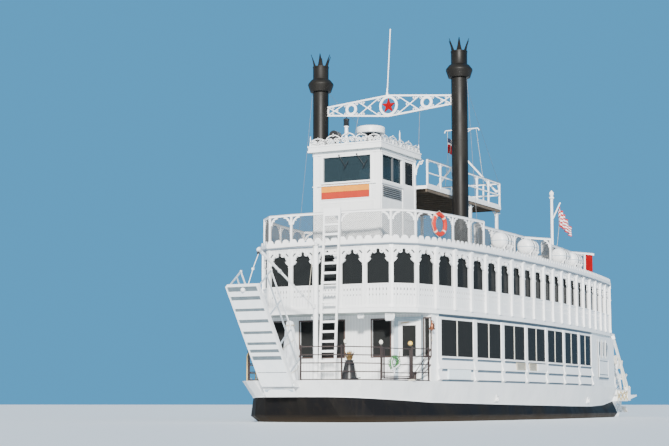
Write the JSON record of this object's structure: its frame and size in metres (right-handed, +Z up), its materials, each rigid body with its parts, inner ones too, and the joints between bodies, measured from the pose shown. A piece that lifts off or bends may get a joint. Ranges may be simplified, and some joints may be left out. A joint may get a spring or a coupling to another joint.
{
  "type": "sternwheel paddle boat",
  "caption": "White excursion boat with an arcaded upper deck, wheelhouse, twin funnels with a star truss, a raised bow stage, and a paddle wheel at the stern.",
  "frame": {"origin": "on the waterline, on the centreline, 15 m abaft the tip of the bow", "axes": "+X forward, +Y to port, +Z up"},
  "size_m": [32.7037, 8.1202, 16.161],
  "materials": {
    "white_paint": "white gloss paint",
    "black_paint": "black paint",
    "window_glass": "dark window glass",
    "bare_aluminium": "dull bare metal",
    "red_paint": "red paint",
    "orange_plastic": "orange lifebuoy plastic",
    "canvas": "weathered canvas",
    "flag_cloth": "red cloth",
    "varnished_wood": "varnished boards",
    "raft_plastic": "white moulded shell"
  },
  "bodies": {
    "boat": {"topsides": "white_paint", "cabin_wall_port": "white_paint", "cabin_wall_starboard": "white_paint", "cabin_wall_aft": "white_paint", "cabin_wall_front": "white_paint", "second_deck": "white_paint", "arcade_front": "white_paint", "arcade_port": "white_paint", "arcade_aft": "white_paint", "arcade_starboard": "white_paint", "third_deck": "white_paint", "rail_front": "white_paint", "rail_port": "white_paint", "rail_aft": "white_paint", "rail_starboard": "white_paint", "wheelhouse_wall_front": "white_paint", "wheelhouse_wall_port": "white_paint", "wheelhouse_wall_aft": "white_paint", "wheelhouse_wall_starboard": "white_paint", "wheelhouse_roof": "white_paint", "upper_platform": "white_paint", "platform_rail": "white_paint", "mast": "white_paint", "stack_truss": "white_paint", "flagpole": "white_paint", "ladder": "white_paint", "king_post": "white_paint", "wheel_beam_port": "white_paint", "wheel_beam_starboard": "white_paint", "hull": "black_paint", "stack_port": "black_paint", "stack_starboard": "black_paint", "bow_rail_port": "black_paint", "bow_rail_starboard": "black_paint", "bitts_port": "black_paint", "bitts_starboard": "black_paint", "cabin_glass": "window_glass", "arcade_glass": "window_glass", "wheelhouse_glass": "window_glass", "truss_star": "red_paint", "lifebuoy": "orange_plastic", "winch_cover": "canvas", "stern_flag": "flag_cloth", "wheelhouse_floor": "varnished_wood", "rafts_port_fore": "raft_plastic", "rafts_port_aft": "raft_plastic", "rafts_starboard_fore": "raft_plastic", "rafts_starboard_aft": "raft_plastic"},
    "paddle_wheel": {"sternwheel": "white_paint"},
    "stage": {"landing_stage": "bare_aluminium"},
    "stage_boom": {"boom": "white_paint"},
    "gate": {"bow_gate": "black_paint"},
    "front_door": {"cabin_door": "white_paint"},
    "house_door_port": {"wheelhouse_door_port": "white_paint"},
    "house_door_starboard": {"wheelhouse_door_starboard": "white_paint"},
    "port_rudder": {"rudder_port": "black_paint"},
    "starboard_rudder": {"rudder_starboard": "black_paint"},
    "roof_light": {"searchlight": "black_paint"}
  },
  "joints": [
    {"name": "wheel_turn", "type": "hinge", "parent": "boat", "child": "paddle_wheel", "pos_m": [-13.35, 0, 1.15], "axis": [0, 1, 0], "continuous": true},
    {"name": "stage_hinge", "type": "hinge", "parent": "boat", "child": "stage", "pos_m": [15.16, -0.33, 1.23], "axis": [0, 1, 0], "range_deg": [0, 60]},
    {"name": "boom_luff", "type": "hinge", "parent": "boat", "child": "stage_boom", "pos_m": [13.3691, 0.01363, 3.94], "axis": [-0.1091, -0.994, 0], "range_deg": [-10, 30]},
    {"name": "gate_hinge", "type": "hinge", "parent": "boat", "child": "gate", "pos_m": [13.2811, 2.59266, 2], "axis": [0, 0, 1], "range_deg": [0, 95]},
    {"name": "cabin_door_hinge", "type": "hinge", "parent": "boat", "child": "front_door", "pos_m": [10.75, 2.8297, 2.46], "axis": [0, 0, 1], "range_deg": [0, 90]},
    {"name": "house_door_port_hinge", "type": "hinge", "parent": "boat", "child": "house_door_port", "pos_m": [8.8797, 1.36, 8.46], "axis": [0, 0, -1], "range_deg": [0, 100]},
    {"name": "house_door_starboard_hinge", "type": "hinge", "parent": "boat", "child": "house_door_starboard", "pos_m": [8.8797, -1.36, 8.46], "axis": [0, 0, 1], "range_deg": [0, 100]},
    {"name": "rudder_port_turn", "type": "hinge", "parent": "boat", "child": "port_rudder", "pos_m": [-9.7, 1.25, -0.6], "axis": [0, 0, 1], "range_deg": [-35, 35]},
    {"name": "rudder_starboard_turn", "type": "hinge", "parent": "boat", "child": "starboard_rudder", "pos_m": [-9.7, -1.25, -0.6], "axis": [0, 0, 1], "range_deg": [-35, 35]},
    {"name": "searchlight_pan", "type": "hinge", "parent": "boat", "child": "roof_light", "pos_m": [10.78, -0.48, 10.2], "axis": [0, 0, 1], "range_deg": [-170, 170]}
  ],
  "couplings": [
    {"joint": "rudder_starboard_turn", "follows": "rudder_port_turn", "ratio": 1}
  ]
}
